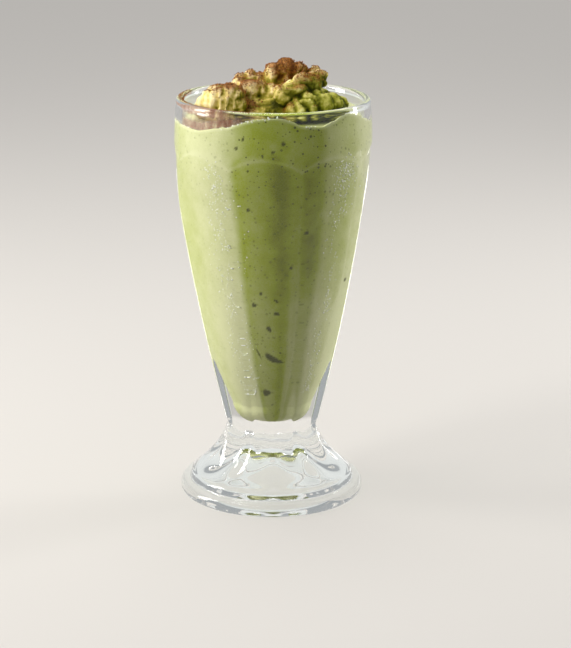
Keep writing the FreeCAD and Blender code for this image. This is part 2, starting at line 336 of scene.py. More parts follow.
def body_radius(off, z):
    """Outer radius at an angle off the nearest flute's middle: flat-faced flutes meeting in round ridges."""
    half = SECTOR / 2
    near = np.sqrt((half - np.abs(off)) ** 2 + ridge_round * ridge_round) - ridge_round
    off = half - near * half / (math.sqrt(half * half + ridge_round * ridge_round) - ridge_round)
    side = (2.0 * off / SECTOR) ** 2
    top = np.clip((arch_top_z - arch_drop * side - z) / arch_run, 0.0, 1.0)
    low = (z - petal_end_z - petal_rise * side) / (0.45 * arch_run)
    step = arch_step * (1.0 - top) * smoothstep(top * arch_run)
    fade = (arch_even * top + (1.0 - arch_even) * top * top + step) * smoothstep(low)
    ridge = ridge_radius(z)
    flat = ridge * (1.0 - math.cos(math.radians(half)) / np.cos(np.radians(off)))
    on_foot = smoothstep((neck_z - z) / (neck_z - shelf_z) * 2.0)
    scoop = scoop_depth * on_foot * np.cos(np.pi * off / SECTOR) ** 2
    return ridge - (flat + scoop) * fade


def cavity_radius(z):
    """Inside radius of the bowl: rounded well, thick lower wall, then an even wall up to the lip."""
    flat_share = math.cos(math.radians(SECTOR / 2))
    zs = [well_z, (well_z + knee_z) / 2, knee_z, *side_heights, band_low_z, lip_z]
    rs = [well_radius, (well_radius + knee_radius) / 2 + well_bow, knee_radius]
    rs += [float(ridge_radius(v)) * flat_share - side_wall for v in side_heights]
    rs += [band_radius - band_wall, rim_radius - rim_wall]
    side = spline(zs, rs, np.maximum(z, well_z))
    drop = well_z - np.minimum(z, well_z)
    low = well_radius - well_corner + np.sqrt(np.maximum(well_corner ** 2 - drop ** 2, 0.0))
    return np.where(z < well_z, low, side)


def foot_profile():
    """(radius, height) from the crown of the hollow under the foot to the end of the shelf.

    The hollow is a spline down to the standing ring, the foot's edge a lower and an upper
    quarter of an ellipse, and the shelf a rising sine.
    """
    under = np.linspace(crown_radius, hollow_radius, 26)
    hollow_r = (crown_radius, crown_radius + 2.5, 13.5, 22.0, hollow_radius - 2.6, hollow_radius)
    hollow_z = (hollow_height, hollow_height - 0.6, 13.4, 7.4, 2.4, 0.0)
    a = np.linspace(-np.pi / 2, np.pi / 2, 18)
    edge_r = foot_radius - np.where(a < 0, base_round, edge_round) * (1 - np.cos(a))
    edge_z = foot_edge_low + np.where(a < 0, foot_edge_low, foot_edge - foot_edge_low) * np.sin(a)
    outer = foot_radius - edge_round
    shelf_r = np.linspace(outer, shelf_radius + 1.2, 8)[1:]
    rise = (outer - shelf_r) / (outer - shelf_radius + 8.0)
    return [(0.0, hollow_height), (crown_radius * 0.5, hollow_height),
            *zip(under, spline(hollow_r, hollow_z, under)), *zip(edge_r, edge_z),
            *zip(shelf_r, foot_edge + shelf_slope * np.sin(rise * np.pi / 2))]


def inside_profile():
    """(radius, height) over the round lip, down the inside and round the well to its middle."""
    a = np.linspace(-0.35, np.pi + 0.35, 22)
    lip = zip(rim_radius - rim_wall / 2 + lip_radius * np.cos(a), lip_z + lip_radius * np.sin(a))
    z = np.linspace(lip_z - 1.0, well_z, 90)
    a = np.linspace(0.0, np.pi / 2, 12)[1:]
    well = zip(well_radius - well_corner + well_corner * np.cos(a), well_z - well_corner * np.sin(a))
    return [*lip, *zip(cavity_radius(z), z), *well, (2.0, cavity_floor_z), (0.0, cavity_floor_z)]


def build_glass(columns_per_flute=36, stations=130):
    """The glass as one closed skin, turned from one profile with the flutes pressed in.

    Stations run from the crown of the hollow under the foot, out over the standing ring, the
    foot's edge, the shelf, up the fluted body, over the lip and down inside to the cavity's
    floor. Columns follow the flutes' turn, so a column runs along every ridge.
    """
    column = np.arange(columns_per_flute * flute_count)
    off = (column % columns_per_flute) / columns_per_flute * SECTOR - SECTOR / 2
    base = column // columns_per_flute * SECTOR
    foot = foot_profile()
    joint_z = foot[-1][1]
    foot_z = np.linspace(0.0, 1.0, 36)[1:] ** 1.25 * (neck_z - joint_z) + joint_z
    body_z = np.concatenate([foot_z, np.linspace(neck_z, lip_z, stations)[1:]])
    rings = [(r + 0 * off, z) for r, z in foot]
    rings += [(body_radius(off, z), z) for z in body_z[body_z < lip_z - 0.5]]
    rings += [(r + 0 * off, z) for r, z in inside_profile()]
    radius = np.array([r for r, _ in rings])
    height = np.array([z for _, z in rings])[:, None]
    return turned_object("glass_body", polar(radius, base + off + flute_centre(height), height))


# ------------------------------------------------------------------ the drink
def edge_height(angle):
    """Height of the drink's edge on the wall: a low line with swells, and a little unevenness."""
    rise = 0.0
    for middle, height, width in edge_swells:
        rise = rise + height * bell(wrap(angle - middle), 0.0, width)
    ripple = 0.35 * np.sin(np.radians(angle * 9 + 40)) + 0.25 * np.sin(np.radians(angle * 17 + 10))
    return edge_low + rise + ripple * 0.8


def pit_depth(angle, z):
    """Depth of the hollows at places on the wall: each a bent ellipse with steep sides.

    Returns the summed depth and a mask that is 1 inside them.
    """
    depth = np.zeros_like(z)
    mask = np.zeros_like(z)
    for middle, height, long, wide, tilt, bend, deep in pits:
        u = wrap(angle - middle) * math.pi / 180.0 * cavity_radius(np.array([height]))[0]
        v = z - height
        t = math.radians(tilt)
        p = (u * math.cos(t) + v * math.sin(t)) / long
        q = (-u * math.sin(t) + v * math.cos(t) - bend * (1.0 - p * p)) / wide
        q = q * (1.0 + 0.35 * p)                  # one end is narrower
        inside = before(np.sqrt(p * p + q * q), 1.15, 0.35)
        depth += deep * inside
        mask = np.maximum(mask, inside)
    return depth, mask


def foam_and_painted_light(angle, z):
    """How pale the drink is against the wall, foam and painted light together: a painted reflection veil over foam
    on the left, and a painted veil a little on the right and behind.

    The bands follow the flutes' turn. They spread above the arches and are paler low down. A painted shade stripe
    runs down the middle, and painted highlights follow the arches and the ridges.
    """
    turn = wrap(angle - flute_centre(z))
    off = (turn + SECTOR / 2) % SECTOR - SECTOR / 2
    arch = arch_top_z - arch_drop * (2.0 * off / SECTOR) ** 2
    above = after(z, arch, 4.0)
    lower = before(z, 118.0, 36.0)
    # painted reflection of the key light, over foam, on the left
    left = (0.56 * before(turn, -17.0 + 12.0 * above, 8.0 + 18.0 * above)
            - 0.20 * before(turn, -45.0, 25.0)) * after(turn, -172.0, 40.0)
    # painted reflection veil on the right
    right = (0.28 * smoothstep((turn - 33.0 + 5.0 * lower) / 9.0) + 0.13 * lower * after(turn, 14.0, 4.0)
             + 0.12 * after(turn, 58.0, 10.0)) * before(turn, 165.0, 40.0)
    # painted light and shade stripes in the front flutes: darker just right of the front, paler beside it
    middle = (0.10 * bell(turn, -10.0, 8.0) - 0.145 * bell(turn, 9.5, 5.5) + 0.06 * bell(turn, 18.5, 3.5)
              - 0.08 * (1.0 - lower) * bell(turn, 27.0, 4.5))
    # painted reflection veil on the right limb
    limb = 0.14 * bell(turn, 76.0, 9.0)
    # painted highlight along the ridges
    seam = 0.09 * bell(np.abs(off), SECTOR / 2, 1.3) * (turn > -15.0)
    # painted highlight along the arches
    arch_line = 0.15 * bell(z - arch, -0.6, 0.8)
    even = 0.19 + 0.13 * lower
    return np.clip(even + limb + left + right + (middle + seam) * (1.0 - above) + arch_line, 0.0, 1.0)


def build_frappe(columns=470, wall_rows=181):
    """The drink as one closed skin, from the well's floor up the wall and over its uneven top.

    It reaches wall_bite into the glass, so no gap of air shows. The top falls from the edge
    height on the wall to the flat level under the cream over the collar's width, as an S.
    Hollows are pressed in from the wall.
    """
    angle = np.linspace(0.0, 360.0, columns, endpoint=False)
    level = 0 * angle
    corner = well_corner + wall_bite
    rings = [(level, cavity_floor_z - wall_bite + level)]
    for t in np.linspace(np.pi / 2, 0.0, 9):
        rings.append((well_radius - well_corner + corner * np.cos(t) + level, well_z - corner * np.sin(t) + level))
    wall_start = len(rings)
    foam = 0.35 * flat_noise(angle / 3.1, 0.0, 21)
    top = np.minimum(edge_height(angle) + foam, lip_z - 0.3)
    for share in np.linspace(0.0, 1.0, wall_rows + 1)[1:]:
        z = well_z + (top - well_z) * share
        rings.append((cavity_radius(z) + wall_bite, z))
    wall_end = len(rings)
    wall = cavity_radius(np.array([drink_level]))[0]
    for share in np.linspace(1.0, 0.0, 12)[1:]:
        rings.append((wall - collar_width * (1 - share) + level,
                      drink_level + (top - drink_level) * smoothstep(share ** 0.7)))
    for share in (0.8, 0.5, 0.2, 0.0):
        rings.append(((wall - collar_width) * share + level, drink_level + level))
    radius = np.array([r for r, _ in rings])
    height = np.array([z for _, z in rings])
    depth = pit_depth(angle, height)[0]
    depth[:wall_start] = depth[wall_end:] = 0.0
    obj = turned_object("frappe_body", polar(radius - pit_share * depth, angle, height))

    co = vertex_values(obj.data, "co") / MM
    at, z = azimuth(co), co[:, 2]
    # the tone layer holds foam and painted light and shade: veils, a dark middle stripe, highlights on ridges and
    # arches
    tone = foam_and_painted_light(at, z) + 0.06 * hash_noise(co / 5.0, 31) + 0.03 * hash_noise(co / 2.0, 33)
    tone += 0.06 * after(z, 150.0, 15.0) + 0.3 * after(z - edge_height(at), -1.6, 1.4)
    set_layer(obj, "tone", np.clip(tone, 0.0, 1.0))
    on_wall = np.hypot(co[:, 0], co[:, 1]) > 0.8 * cavity_radius(np.maximum(z, well_z))
    # where painted shade darkens the hollows
    set_layer(obj, "pit_shade", pit_depth(at, z)[1] * on_wall)
    return obj


def build_bubbles(count=4200, edge_count=420):
    """Tiny foam bubbles between the drink and the wall: two strips, a cluster, and along the drink's edge."""
    rng = np.random.default_rng(12)
    low, high = 50.0, 158.0
    z = rng.uniform(low, high, count)
    left = rng.random(count) < 0.5
    share = (z - low) / (high - low)
    angle = (np.where(left, -30.0 - 7.0 * share, 47.5 + 1.0 * share)
             + rng.normal(0.0, 1.0, count) * np.where(left, 6.5, 4.4))
    cluster = rng.random(count) < 0.12
    angle = np.where(cluster, rng.normal(50.0, 5.0, count), angle)
    z = np.where(cluster, rng.normal(152.0, 3.6, count), z)
    size = 0.10 + 0.32 * rng.random(count) ** 4
    keep = (flat_noise(angle / 3.0, z / 6.0, 41) > -0.15) | cluster
    angle, z, size = angle[keep], z[keep], size[keep]
    places = polar(cavity_radius(z) + 0.05, angle, z)
    angle = rng.uniform(-180.0, 180.0, edge_count)
    angle = angle[flat_noise(angle / 12.0, 0.0, 43) > -0.25]
    edge_size = 0.14 + 0.34 * rng.random(len(angle)) ** 2
    z = edge_height(angle) - 0.3 + rng.normal(0.0, 0.35, len(angle))
    edge = polar(cavity_radius(z) - 0.25 * edge_size, angle, z)
    return scatter_balls("wall_bubbles", np.concatenate([places, edge]), np.concatenate([size, edge_size]))


def scatter_balls(name, places, sizes, rows=4, around=6):
    """One mesh of many small balls: rows x around points each, on the sphere's formula."""
    v = np.linspace(0.0, np.pi, rows + 1)[1:-1, None]
    u = np.linspace(0.0, 2 * np.pi, around, endpoint=False)
    ring = np.stack([np.sin(v) * np.cos(u), np.sin(v) * np.sin(u), np.cos(v) + 0 * u], -1)
    unit = np.concatenate([[[0.0, 0.0, 1.0]], ring.reshape(-1, 3), [[0.0, 0.0, -1.0]]])
    n = len(unit)
    faces = []
    for k in range(around):
        nxt = (k + 1) % around
        faces += [(0, 1 + k, 1 + nxt), (n - 1, n - 1 - around + nxt, n - 1 - around + k)]
        for i in range(rows - 2):
            a, b = 1 + i * around + k, 1 + i * around + nxt
            faces += [(a, a + around, b), (b, a + around, b + around)]
    verts = places[:, None, :] + unit[None] * sizes[:, None, None]
    index = np.array(faces)[None] + (np.arange(len(places)) * n)[:, None, None]
    return mesh_object(name, verts.reshape(-1, 3), index.reshape(-1, 3))


def build_smear(columns=120, rows=24, start=-96.0, end=-4.0, top=178.2):
    """Spice and cream smeared inside the wall, left of the front: a thin film over the drink's edge.

    The film is two grids, one towards the wall and one towards the room, joined by a border.
    """
    angle = np.linspace(start, end, columns)
    low = edge_height(angle) - 0.8
    z = low + (top - low) * np.linspace(0.0, 1.0, rows)[:, None]
    verts = np.concatenate([polar(cavity_radius(z) - gap, angle, z).reshape(-1, 3) for gap in (0.03, 0.13)])
    grid = rows * columns
    i, j = np.meshgrid(np.arange(rows - 1), np.arange(columns - 1), indexing="ij")
    first = i * columns + j
    outer = np.stack([first, first + 1, first + columns + 1, first + columns], -1).reshape(-1, 4)
    inner = outer[:, ::-1] + grid
    border = np.concatenate([np.arange(columns), np.arange(1, rows) * columns + columns - 1,
                             (rows - 1) * columns + np.arange(columns - 2, -1, -1),
                             np.arange(rows - 2, 0, -1) * columns])
    nxt = np.roll(border, -1)
    side = np.stack([nxt, border, border + grid, nxt + grid], -1)
    obj = mesh_object("spice_smear", verts, np.concatenate([outer, inner, side]))
    weld(obj)
    co = vertex_values(obj.data, "co") / MM
    at = azimuth(co)
    over = co[:, 2] - edge_height(at)
    patch = (after(over, -0.6, 1.2) * (0.25 + 0.75 * before(over, 4.6, 3.4)) * before(over, 9.0, 4.0)
             * after(at, -88.0, 14.0) * before(at, -12.0, 20.0))
    rim = after(co[:, 2], 175.2, 2.0) * before(at, -22.0, 22.0) * after(at, -118.0, 20.0)
    set_layer(obj, "thick", np.clip(1.5 * patch + 1.3 * rim, 0.0, 1.0))
    return obj


# ------------------------------------------------------------------ the piped cream
def rope_points(stroke, ruffle, stations=110, around=64):
    """A star-nozzle rope: a round section with cosine grooves, carried along a spline, rounded at its ends.

    The section stands square to the path; its grooves turn slowly along the run, and it swells into lobes.
    """
    s = np.array(stroke)
    t = np.linspace(0.0, len(s) - 1.0, stations)
    x, y, depth, size = (spline(np.arange(len(s)), values, t) for values in s.T)
    path = np.stack([x, y, cream_peak_z - depth], -1)
    ahead = np.gradient(path, axis=0)
    ahead /= np.linalg.norm(ahead, axis=1)[:, None]
    side = np.cross(ahead, (0.0, 0.0, 1.0))
    side /= np.linalg.norm(side, axis=1)[:, None]
    up = np.cross(side, ahead)
    run = np.concatenate([[0.0], np.cumsum(np.linalg.norm(np.diff(path, axis=0), axis=1))])
    caps = np.minimum(run, run[-1] - run) / size
    shrink = np.sqrt(np.clip(1.0 - (1.0 - np.clip(caps, 0.0, 1.0)) ** 2, 0.0, 1.0))
    turn = np.linspace(0.0, 2 * np.pi, around, endpoint=False)
    groove = 1.0 + cream_groove * np.cos(cream_points * turn[None, :] + np.radians(cream_twist) * run[:, None])
    lobe_depth, spacing = ruffle
    lobes = 1.0 + lobe_depth * (2.0 * np.abs(np.sin(np.pi * run / spacing + 0.9 * np.sin(run / 6.1))) - 1.2)
    reach = size[:, None] * shrink[:, None] * groove * lobes[:, None]
    points = (path[:, None, :] + reach[..., None] * (np.sin(turn)[None, :, None] * side[:, None, :]
                                                     + np.cos(turn)[None, :, None] * up[:, None, :]))
    points[0], points[-1] = path[0] - ahead[0] * 0.2, path[-1] + ahead[-1] * 0.2
    return points


def mound_points(rows=30, around=60):
    """The low ellipsoid under the ropes: sine and cosine of two angles, scaled by its three radii."""
    a = np.linspace(0.0, np.pi, rows)[:, None]
    turn = np.linspace(0.0, 2 * np.pi, around, endpoint=False)
    wide, deep, tall = mound_radii
    return np.stack([wide * np.sin(a) * np.cos(turn), deep * np.sin(a) * np.sin(turn) + mound_back,
                     mound_z - tall * np.cos(a) + 0 * turn], -1)


def one_skin(name, parts):
    """The parts joined into one closed skin by a voxel remesh."""
    bpy.ops.object.select_all(action="DESELECT")
    for part in parts:
        part.select_set(True)
    joined = parts[0]
    bpy.context.view_layer.objects.active = joined
    bpy.ops.object.join()
    remesh = joined.modifiers.new("skin", "REMESH")
    remesh.mode = "VOXEL"
    remesh.voxel_size = cream_voxel * MM
    depsgraph = bpy.context.evaluated_depsgraph_get()
    mesh = bpy.data.meshes.new_from_object(joined.evaluated_get(depsgraph))
    bpy.data.objects.remove(joined)
    mesh.name = name
    return add_object(name, mesh)


def averaged(mesh, values, rounds):
    """The values after some rounds in which each vertex takes the mean of its neighbours."""
    count = len(values)
    edges = np.empty(len(mesh.edges) * 2, dtype=np.int32)
    mesh.edges.foreach_get("vertices", edges)
    a, b = edges.reshape(-1, 2).T
    degree = np.maximum(np.bincount(edges, minlength=count), 1)[:, None]
    for _ in range(rounds):
        values = np.stack([np.bincount(a, v[b], count) + np.bincount(b, v[a], count) for v in values.T], -1)
        values = values / degree
    return values


def cream_lumps(co):
    """How far the skin stands out at each place: the size of value noise at four scales, on warped places."""
    wave = 0.8 * np.stack([hash_noise(co / 5.0, seed) for seed in (51, 52, 53)], -1)
    lumps = np.abs(hash_noise((co + wave) / 6.2, 3))
    middling = np.abs(hash_noise((co + wave) / 2.3, 5))
    small = np.abs(hash_noise((co + 0.5 * wave) / 1.2, 7))
    grit = hash_noise(co / 0.7, 9)
    return 2.2 * (lumps - 0.36) + 0.40 * (middling - 0.33) + 0.32 * (small - 0.3) + 0.10 * grit


def build_cream():
    """The piped ropes and the mound under them as one skin with lumps, and its layers of painted light and shade,
    greenness and dusting.

    Returns the object with its places, normals and dusting, which the grains follow.
    """
    parts = [turned_object("rope_%d" % i, rope_points(stroke, ruffle))
             for i, (stroke, ruffle) in enumerate(zip(strokes, ruffles))]
    obj = one_skin("cream_swirl", parts + [turned_object("mound", mound_points())])
    mesh = obj.data
    co, nr = vertex_values(mesh, "co") / MM, vertex_values(mesh, "normal")
    co = co + nr * cream_lumps(co)[:, None]
    co[:, 2] = np.maximum(co[:, 2], drink_level - cream_sink)
    co[:, 2] = np.minimum(co[:, 2], cream_top - 0.2)
    mesh.vertices.foreach_set("co", (co * MM).astype(np.float32).ravel())
    mesh.polygons.foreach_set("use_smooth", np.ones(len(mesh.polygons), dtype=bool))
    mesh.update()

    crest = np.einsum("ij,ij->i", co - averaged(mesh, co, 14), nr)
    nr = vertex_values(mesh, "normal")
    x, y, z = co.T
    # painted light: paler on faces turned to the left, front and top, darker on those turned away
    painted_side_light = smoothstep(0.42 - 0.62 * nr[:, 0] - 0.35 * nr[:, 1] + 0.38 * nr[:, 2])
    fold = bell(y + 3.0 + (22.0 - x) * 0.66, 0.0, 3.2) * after(x, 2.0, 5.0) * after(z, 183.5, 2.0)
    # painted shade in the dark hollow at the front and darker towards +x; painted highlight on the fold's ridge
    hollow = (0.26 * blob(co, (3.0, -18.0, 177.5), 45.0) + 0.24 * blob(co, (-5.0, -15.0, 177.0), 30.0)
              + 0.12 * after(x, -4.0, 9.0) - 0.16 * fold)
    # the crest layer is painted light and shade: dark in the crevices and hollow, pale on lumps and lit faces
    set_layer(obj, "crest", np.clip(0.36 + crest / 2.0 + 0.36 * (painted_side_light - 0.42) - hollow, 0.0, 1.0))
    place = np.clip(0.16 + 0.74 * after(z, 181.0, 10.0) + 0.24 * blob(co, (-20.0, -8.0), 170.0)
                    + 0.45 * blob(co, (8.0, -22.0), 40.0) - 0.5 * fold, 0.0, 1.0)
    cloud = 0.5 + 0.5 * hash_noise(co / 2.4, 61) + 0.28 * hash_noise(co / 1.0, 62)
    heaps = 0.35 * blob(co, (9.0, -4.5), 36.0)
    heaps += 0.5 * blob(co, (2.5, 2.0), 50.0) * after(z, 184.0, 4.0)
    heaps += 0.35 * blob(co, (7.0, -18.0, 176.0), 16.0)
    heaps += 0.30 * blob(co, (-15.0, -12.0), 60.0)
    heaps += 0.45 * blob(co, (-9.0, -15.0), 24.0)
    dust = (heaps + place * (0.30 + 0.70 * np.clip(nr[:, 2], 0.0, 1.0)) + 0.42 * (cloud - 0.5)
            + 0.14 * (crest > 0.1) - 0.10)
    dust = np.clip(dust, 0.0, 1.0)
    set_layer(obj, "dust", dust)
    set_layer(obj, "green", after(x, -4.0, 22.0) * before(z, 196.0, 10.0))
    return obj, co, nr, dust


def build_grains(co, nr, dust, count=7000, lip_count=1700):
    """Spice grains on the cream and on the lip: jittered eight-faced bits, thick where the dusting is."""
    rng = np.random.default_rng(77)
    weight = np.clip(dust - 0.22, 0.0, 1.0) ** 1.3 * (nr[:, 2] > -0.1) * (co[:, 2] > drink_level + 1.0)
    pick = rng.choice(len(co), size=count, p=weight / weight.sum())
    size = 0.10 + 0.22 * rng.random(count) ** 2
    places = co[pick] + nr[pick] * (size * 0.35)[:, None] + rng.normal(0.0, 0.12, (count, 3))
    around = -14.0 - 100.0 * rng.random(lip_count) ** 1.3
    over = np.radians(-85.0 + 120.0 * rng.random(lip_count))
    reach = lip_radius + 0.03
    on_lip = polar(rim_radius - lip_radius + reach * np.sin(over), around, lip_z + reach * np.cos(over))
    places = np.concatenate([places, on_lip])
    size = np.concatenate([size, 0.09 + 0.13 * rng.random(lip_count) ** 2])
    count = len(places)
    corner = np.array([(1, 0, 0), (-1, 0, 0), (0, 1, 0), (0, -1, 0), (0, 0, 1), (0, 0, -1)], dtype=float)
    face = np.array([(0, 2, 4), (2, 1, 4), (1, 3, 4), (3, 0, 4), (2, 0, 5), (1, 2, 5), (3, 1, 5), (0, 3, 5)])
    stretch = 0.6 + 0.8 * rng.random((count, 6, 1))
    verts = places[:, None, :] + corner[None] * stretch * size[:, None, None]
    verts[..., 2] = np.minimum(verts[..., 2], cream_top - 0.05)
    index = face[None] + (np.arange(count) * 6)[:, None, None]
    obj = mesh_object("spice_grains", verts.reshape(-1, 3), index.reshape(-1, 3), smooth=False)
    set_layer(obj, "shade", np.repeat(rng.random(count), 6))
    return obj


# ------------------------------------------------------------------ short ways to build materials
class Tree:
    """A node tree. Inputs are given as numbers, colours or the outputs of other nodes."""

    def __init__(self, tree):
        self.nodes, self.links = tree.nodes, tree.links

    def fill(self, node, inputs):
        """Gives a node's inputs, called by name or number, their values."""
        for key, value in inputs.items():
            socket = node.inputs[key]
            if isinstance(value, bpy.types.NodeSocket):
                self.links.new(value, socket)
            else:
                socket.default_value = (*value, 1.0) if socket.type == "RGBA" else value

    def add(self, kind, inputs=None, **settings):
        """A new node's outputs."""
        node = self.nodes.new("ShaderNode" + kind)
        for key, value in settings.items():
            setattr(node, key, value)
        self.fill(node, inputs or {})
        return node.outputs

    def maths(self, kind, *values):
        """One step of arithmetic."""
        return self.add("Math", dict(enumerate(values)), operation=kind)[0]

    def swing(self, value, amount):
        """The value's distance from a half, times an amount."""
        return self.maths("MULTIPLY", self.maths("SUBTRACT", value, 0.5), amount)

    def noise(self, coords, scale, detail, rough):
        """Soft noise from 0 to 1."""
        return self.add("TexNoise", {"Vector": coords, "Scale": scale, "Detail": detail, "Roughness": rough})["Fac"]

    def ramp(self, value, stops):
        """The colour that a value has between the stops (value, colour), which ascend."""
        node = self.nodes.new("ShaderNodeValToRGB")
        self.fill(node, {"Fac": value})
        elements = node.color_ramp.elements
        elements.remove(elements[0])
        elements[0].position = stops[0][0]
        for at, _ in stops[1:]:
            elements.new(at)
        for element, (_, colour) in zip(elements, stops):
            element.color = (*colour, 1.0)
        return node.outputs["Color"]

    def spread(self, value, start, end, low, high):
        """The value's way from start to end, as a number from low to high."""
        return self.add("MapRange", {"Value": value, "From Min": start, "From Max": end,
                                     "To Min": low, "To Max": high})["Result"]

    def mix_colour(self, share, a, b, blend="MIX"):
        """Colour b over colour a by its share; inputs 0, 6 and 7 and output 2 are those for colours."""
        return self.add("Mix", {0: share, 6: a, 7: b}, data_type="RGBA", blend_type=blend)[2]

    def mix_shader(self, share, a, b):
        """Shader b over shader a by its share."""
        return self.add("MixShader", {0: share, 1: a, 2: b})["Shader"]

    def layer(self, name):
        """The value that a mesh stores under this name."""
        return self.add("Attribute", attribute_name=name)["Fac"]

    def coords(self):
        """Places in the object's own frame, in metres."""
        return self.add("TexCoord")["Object"]

    def seen_rays(self):
        """1 for rays that show a thing directly, by reflection or through glass; 0 for those that light others."""
        path = self.add("LightPath")
        return self.maths("MAXIMUM", self.maths("MAXIMUM", path["Is Camera Ray"], path["Is Glossy Ray"]),
                          path["Is Transmission Ray"])

    def pores(self, coords, scale, share, radius):
        """The mask of the pinhole group."""
        return self.add("Group", {"Coordinates": coords, "Scale": scale, "Share": share, "Radius": radius},
                        node_tree=pinholes)["Mask"]

    def bump(self, height, distance, strength):
        """The normal over this relief."""
        return self.add("Bump", {"Height": height, "Distance": distance, "Strength": strength})["Normal"]


def material(name):
    """A new material with its tree and its Principled shader."""
    m = bpy.data.materials.new(name)
    m.use_nodes = True
    return m, Tree(m.node_tree), m.node_tree.nodes["Principled BSDF"]


def pore_group():
    """Dark pinholes: near the centres of some cells of a Voronoi field, soft at their edge."""
    g = bpy.data.node_groups.new("pinholes", "ShaderNodeTree")
    g.interface.new_socket("Coordinates", in_out="INPUT", socket_type="NodeSocketVector")
    for name in ("Scale", "Share", "Radius"):
        g.interface.new_socket(name, in_out="INPUT", socket_type="NodeSocketFloat")
    g.interface.new_socket("Mask", in_out="OUTPUT", socket_type="NodeSocketFloat")
    t = Tree(g)
    given = g.nodes.new("NodeGroupInput").outputs
    cell = t.add("TexVoronoi", {"Vector": given["Coordinates"], "Scale": given["Scale"]})
    split = t.add("SeparateColor", {"Color": cell["Color"]})
    chosen = t.maths("LESS_THAN", split["Red"], given["Share"])
    size = t.maths("MULTIPLY", given["Radius"], t.maths("ADD", split["Green"], 0.3))
    sharp = t.spread(t.maths("SUBTRACT", size, cell["Distance"]), 0.0, 0.05, 0.0, 1.0)
    t.fill(g.nodes.new("NodeGroupOutput"), {"Mask": t.maths("MULTIPLY", sharp, chosen)})
    return g


pinholes = pore_group()


# ------------------------------------------------------------------ materials
def glass_material():
    """Clear pressed glass; light passes straight to what it holds, and its shadow is faint.

    A path that has met the glass many times ends in an even grey glow, painted light where it would end in black.
    """
    m, t, shader = material("clear_glass")
    t.fill(shader, {"Base Color": (0.985, 0.995, 0.99), "Roughness": 0.0, "IOR": 1.5, "Transmission Weight": 1.0})
    path = t.add("LightPath")
    clear = t.add("BsdfTransparent", {"Color": (0.93, 0.95, 0.94)})["BSDF"]
    passing = t.maths("MAXIMUM", path["Is Shadow Ray"], path["Is Diffuse Ray"])
    early = t.mix_shader(passing, shader.outputs["BSDF"], clear)
    # painted light: an even grey glow for paths deep in the glass
    pale = t.add("Emission", {"Color": (0.36, 0.38, 0.39)})["Emission"]
    deep = t.maths("MAXIMUM", t.maths("GREATER_THAN", path["Transmission Depth"], 5.5),
                   t.maths("GREATER_THAN", path["Glossy Depth"], 2.5))
    t.fill(t.nodes["Material Output"], {"Surface": t.mix_shader(deep, early, pale)})
    return m


def frappe_material():
    """Blended drink: olive to pale green by its tone layer, which holds painted light and shade as well as foam;
    mottled, with pinholes, thick near the top, and painted shade in the hollows.
    """
    m, t, shader = material("blended_matcha")
    coords = t.coords()
    soft = t.noise(coords, 220.0, 4.0, 0.6)
    fine = t.noise(coords, 1500.0, 3.0, 0.6)
    tone = t.maths("ADD", t.maths("ADD", t.layer("tone"), t.swing(soft, 0.16)), t.swing(fine, 0.24))
    base = t.ramp(tone, [(0.0, (0.180, 0.205, 0.006)), (0.22, (0.335, 0.390, 0.028)),
                         (0.55, (0.50, 0.53, 0.21)), (0.85, (0.66, 0.67, 0.37))])
    near_top = t.spread(t.add("SeparateXYZ", {"Vector": coords})["Z"], 0.135, 0.160, 0.40, 0.95)
    big = t.maths("MULTIPLY", t.pores(coords, 300.0, 0.10, 0.15), 0.75)
    tiny = t.maths("MULTIPLY", t.pores(coords, 620.0, 0.60, 0.30), near_top)
    green_part = t.spread(tone, 0.60, 0.35, 0.25, 1.0)
    holes = t.maths("MULTIPLY", t.maths("MAXIMUM", big, tiny), green_part)
    holed = t.mix_colour(holes, base, (0.10, 0.115, 0.02))
    # painted shade in the hollows against the wall
    final = t.mix_colour(t.maths("MULTIPLY", t.layer("pit_shade"), 0.9), holed, (0.055, 0.06, 0.008))
    t.fill(shader, {"Base Color": final, "Roughness": 0.42, "Specular IOR Level": 0.12,
                    "Normal": t.bump(t.maths("SUBTRACT", soft, holes), 0.00035, 0.6)})
    return m


def cream_material():
    """Matcha cream: dark in the crevices and pale on the lumps by its crest layer, which is painted light and
    shade, greener by its green layer, with a brown spice dusting by its dust layer.
    """
    m, t, shader = material("piped_cream")
    coords = t.coords()
    fine = t.noise(coords, 700.0, 4.0, 0.65)
    speck = t.noise(coords, 2300.0, 3.0, 0.7)
    crest = t.maths("ADD", t.layer("crest"), t.swing(fine, 0.35))
    # from painted shade, near black, in the crevices up to pale cream as painted light on the lumps
    body = t.ramp(crest, [(0.05, (0.045, 0.045, 0.001)), (0.26, (0.17, 0.155, 0.006)), (0.42, (0.42, 0.35, 0.050)),
                          (0.56, (0.78, 0.61, 0.21)), (0.72, (0.95, 0.80, 0.42))])
    dust = t.maths("ADD", t.layer("dust"), t.swing(speck, 1.1))
    cover = t.ramp(dust, [(0.42, (0.0, 0.0, 0.0)), (0.68, (0.5, 0.5, 0.5)), (0.95, (0.9, 0.9, 0.9))])
    spice = t.ramp(fine, [(0.35, (0.13, 0.038, 0.002)), (0.65, (0.42, 0.145, 0.018))])
    leafy = t.mix_colour(t.maths("MULTIPLY", t.layer("green"), 0.75), body,
                         t.mix_colour(1.0, body, (0.66, 0.86, 0.45), "MULTIPLY"))
    t.fill(shader, {"Base Color": t.mix_colour(cover, leafy, spice), "Roughness": 0.62, "Specular IOR Level": 0.12,
                    "Normal": t.bump(t.maths("ADD", fine, speck), 0.0004, 0.8)})
    return m


